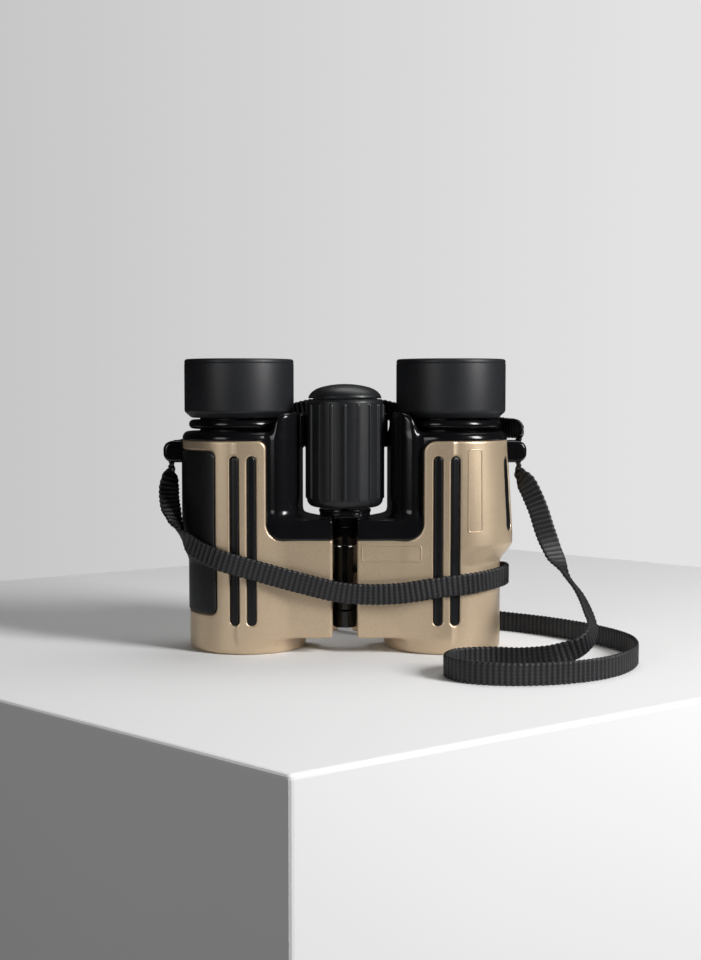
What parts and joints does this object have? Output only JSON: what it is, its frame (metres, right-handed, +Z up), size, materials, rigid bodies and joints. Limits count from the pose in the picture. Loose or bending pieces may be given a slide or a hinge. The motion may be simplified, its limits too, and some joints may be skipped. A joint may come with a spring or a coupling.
{
  "type": "binoculars",
  "caption": "Compact roof-prism binoculars with a folding centre hinge, ribbed focus knob, twist-up eyecups and a webbing neck strap.",
  "frame": {"origin": "on the surface the binoculars stand on, midway between the barrels and between front and back", "axes": "+Z up towards the eyecups, +X towards the right barrel as seen from the focus knob side, +Y towards the back, away from the knob"},
  "size_m": [0.145, 0.1111, 0.0898],
  "materials": {
    "shell": "champagne metallic paint, satin, fine grain",
    "frame": "black, smooth satin",
    "insert": "black, smooth",
    "ring": "black anodised, satin",
    "eyecup": "black, soft matt",
    "knob": "black, ribbed, satin",
    "inner_metal": "black anodised",
    "steel": "plain",
    "glass": "coated optical glass",
    "webbing": "black nylon webbing with cross ribs"
  },
  "bodies": {
    "left_half": {"left_shell": "shell", "left_frame": "frame", "left_inner_insert": "insert", "left_outer_insert": "insert", "left_side_grip": "insert", "left_strap_lug": "frame", "left_objective_cell": "inner_metal", "left_objective_crown": "glass", "left_objective_flint": "glass", "left_prism_shelf": "inner_metal", "left_half_penta_prism": "glass", "left_roof_prism": "glass", "left_eyepiece_tube": "inner_metal", "left_field_lens": "glass", "left_eye_lens": "glass", "left_neck_ring": "ring", "left_upper_knuckle": "frame", "hinge_end_cap": "frame", "knob_collar": "frame", "hinge_tube": "steel", "hinge_pin": "steel", "hinge_cover_strip": "frame", "rear_bridge": "frame", "neck_strap": "webbing", "back_strap": "webbing"},
    "right_half": {"right_shell": "shell", "right_frame": "frame", "right_inner_insert": "insert", "right_outer_insert": "insert", "right_side_insert": "insert", "right_strap_lug": "frame", "right_objective_cell": "inner_metal", "right_objective_crown": "glass", "right_objective_flint": "glass", "right_prism_shelf": "inner_metal", "right_half_penta_prism": "glass", "right_roof_prism": "glass", "right_upper_knuckle": "frame", "right_lower_knuckle": "frame"},
    "focus_knob": {"knob_grip": "knob", "knob_core": "inner_metal", "knob_cap": "knob", "focus_screw": "steel"},
    "focus_nut": {"focus_nut": "steel"},
    "left_focus_group": {"left_focus_carrier": "inner_metal", "left_focus_lens": "glass", "left_focus_arm": "steel"},
    "right_focus_group": {"right_focus_carrier": "inner_metal", "right_focus_lens": "glass", "right_focus_arm": "steel"},
    "diopter_ring": {"right_diopter_ring": "ring"},
    "right_eyepiece": {"right_eyepiece_tube": "inner_metal", "right_field_lens": "glass", "right_eye_lens": "glass"},
    "left_cup_carrier": {"left_eyecup_carrier": "inner_metal"},
    "left_eyecup": {"left_eyecup": "eyecup"},
    "right_cup_carrier": {"right_eyecup_carrier": "inner_metal"},
    "right_eyecup": {"right_eyecup": "eyecup"}
  },
  "joints": [
    {"name": "interpupillary_hinge", "type": "hinge", "parent": "left_half", "child": "right_half", "pos_m": [0, -0.0065, 0.02], "axis": [0, 0, 1], "range_deg": [-22, 45], "deforming": ["neck_strap", "back_strap"]},
    {"name": "focus_turn", "type": "hinge", "parent": "left_half", "child": "focus_knob", "pos_m": [0, -0.0065, 0.06], "axis": [0, 0, 1], "range_deg": [-270, 270]},
    {"name": "focus_nut_slide", "type": "slide", "parent": "left_half", "child": "focus_nut", "axis": [0, 0, 1], "range_m": [-0.0015, 0.0015]},
    {"name": "left_focus_slide", "type": "slide", "parent": "left_half", "child": "left_focus_group", "axis": [0, 0, 1], "range_m": [-0.0015, 0.0015]},
    {"name": "right_focus_slide", "type": "slide", "parent": "right_half", "child": "right_focus_group", "axis": [0, 0, 1], "range_m": [-0.0015, 0.0015]},
    {"name": "diopter_turn", "type": "hinge", "parent": "right_half", "child": "diopter_ring", "pos_m": [0.033, 0, 0.07], "axis": [0, 0, 1], "range_deg": [-40, 40]},
    {"name": "diopter_slide", "type": "slide", "parent": "right_half", "child": "right_eyepiece", "axis": [0, 0, 1], "range_m": [-0.0004, 0.0004]},
    {"name": "left_eyecup_lift", "type": "slide", "parent": "left_half", "child": "left_cup_carrier", "axis": [0, 0, 1], "range_m": [0, 0.006]},
    {"name": "left_eyecup_twist", "type": "hinge", "parent": "left_cup_carrier", "child": "left_eyecup", "pos_m": [-0.033, 0, 0.08], "axis": [0, 0, 1], "range_deg": [0, 120]},
    {"name": "right_eyecup_lift", "type": "slide", "parent": "right_eyepiece", "child": "right_cup_carrier", "axis": [0, 0, 1], "range_m": [0, 0.006]},
    {"name": "right_eyecup_twist", "type": "hinge", "parent": "right_cup_carrier", "child": "right_eyecup", "pos_m": [0.033, 0, 0.08], "axis": [0, 0, 1], "range_deg": [0, 120]}
  ],
  "couplings": [
    {"joint": "focus_nut_slide", "follows": "focus_turn", "m_per_rad": 0.000318},
    {"joint": "left_focus_slide", "follows": "focus_turn", "m_per_rad": 0.000318},
    {"joint": "right_focus_slide", "follows": "focus_turn", "m_per_rad": 0.000318},
    {"joint": "diopter_slide", "follows": "diopter_turn", "m_per_rad": 0.00057},
    {"joint": "left_eyecup_lift", "follows": "left_eyecup_twist", "m_per_rad": 0.00286},
    {"joint": "right_eyecup_lift", "follows": "right_eyecup_twist", "m_per_rad": 0.00286}
  ]
}
